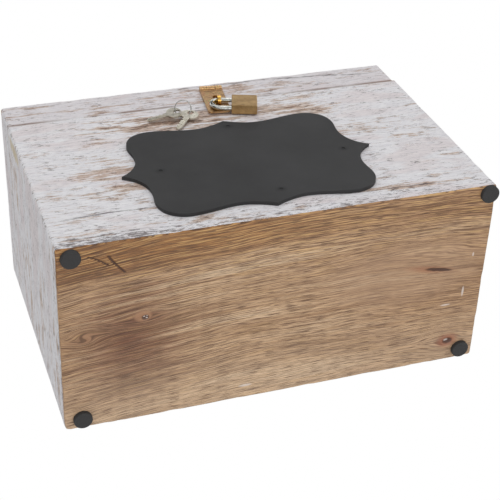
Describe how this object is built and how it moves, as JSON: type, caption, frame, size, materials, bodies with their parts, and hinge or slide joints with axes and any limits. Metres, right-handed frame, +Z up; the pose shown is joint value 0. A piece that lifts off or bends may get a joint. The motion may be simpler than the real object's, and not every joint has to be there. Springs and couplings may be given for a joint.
{
  "type": "wedding card box",
  "caption": "Whitewashed wooden card box with a hinged slotted lid, chalkboard plaque, hasp and small padlock with keys.",
  "frame": {"origin": "under the middle of the box, at the level of the feet's undersides", "axes": "+X to the right seen from the front, +Y to the back, +Z up; the front with the hasp faces -Y"},
  "size_m": [0.306, 0.1629, 0.2025],
  "materials": {
    "natural_wood": "oiled, satin",
    "whitewashed_wood": "worn whitewash, matt",
    "chalkboard": "matt chalkboard paint",
    "foot_rubber": "matt",
    "antique_brass": "aged, iridescent",
    "bright_brass": "brushed",
    "brass_screw": "satin",
    "chrome_steel": "polished",
    "nickel_key": "nickel plated, satin",
    "spring_steel": "bare"
  },
  "bodies": {
    "box": {"bottom_board": "natural_wood", "front_board": "whitewashed_wood", "back_board": "whitewashed_wood", "left_board": "whitewashed_wood", "right_board": "whitewashed_wood", "foot_front_left": "foot_rubber", "foot_front_right": "foot_rubber", "foot_back_left": "foot_rubber", "foot_back_right": "foot_rubber", "chalkboard_plaque": "chalkboard", "plaque_nails": "chalkboard", "hasp_staple": "bright_brass", "hasp_staple_screws": "brass_screw", "left_hinge_box_leaf": "antique_brass", "right_hinge_box_leaf": "antique_brass", "left_hinge_box_screws": "brass_screw", "right_hinge_box_screws": "brass_screw", "left_hinge_pin": "antique_brass", "right_hinge_pin": "antique_brass"},
    "lid": {"lid_top_panel": "whitewashed_wood", "lid_front_rail": "whitewashed_wood", "lid_back_rail": "whitewashed_wood", "lid_left_rail": "whitewashed_wood", "lid_right_rail": "whitewashed_wood", "left_hinge_lid_leaf": "antique_brass", "right_hinge_lid_leaf": "antique_brass", "left_hinge_lid_screws": "brass_screw", "right_hinge_lid_screws": "brass_screw", "hasp_leaf": "antique_brass", "hasp_leaf_screws": "brass_screw", "hasp_pin": "antique_brass"},
    "strap": {"hasp_strap": "antique_brass"},
    "padlock": {"padlock_case": "bright_brass", "padlock_latch": "spring_steel", "padlock_spring": "spring_steel"},
    "shackle": {"padlock_shackle": "chrome_steel"},
    "plug": {"padlock_plug": "bright_brass"},
    "key_ring": {"key_ring": "spring_steel"},
    "key_1": {"key_1": "nickel_key"},
    "key_2": {"key_2": "nickel_key"}
  },
  "joints": [
    {"name": "lid_open", "type": "hinge", "parent": "box", "child": "lid", "pos_m": [0, 0.0795, 0.1723], "axis": [-1, 0, 0], "range_deg": [0, 110]},
    {"name": "hasp_swing", "type": "hinge", "parent": "lid", "child": "strap", "pos_m": [0.00577, -0.071, 0.1907], "axis": [-0.9925, 0, 0.1219], "range_deg": [0, 180]},
    {"name": "padlock_off", "type": "slide", "parent": "box", "child": "padlock", "axis": [0, -1, 0], "range_m": [0, 0.06]},
    {"name": "shackle_lift", "type": "slide", "parent": "padlock", "child": "shackle", "axis": [-0.9489, 0, 0.3156], "range_m": [0, 0.006]},
    {"name": "plug_turn", "type": "hinge", "parent": "padlock", "child": "plug", "pos_m": [0.0206, -0.0733, 0.1536], "axis": [0.9489, 0, -0.3156], "range_deg": [0, 90]},
    {"name": "keys_off", "type": "slide", "parent": "box", "child": "key_ring", "axis": [0, -1, 0], "range_m": [0, 0.06]},
    {"name": "key_1_swing", "type": "hinge", "parent": "key_ring", "child": "key_1", "pos_m": [-0.0315, -0.0736, 0.1538], "axis": [0, 1, 0], "range_deg": [-12, 12]},
    {"name": "key_2_swing", "type": "hinge", "parent": "key_ring", "child": "key_2", "pos_m": [-0.0214, -0.0721, 0.1522], "axis": [0, 1, 0], "range_deg": [-12, 12]}
  ]
}
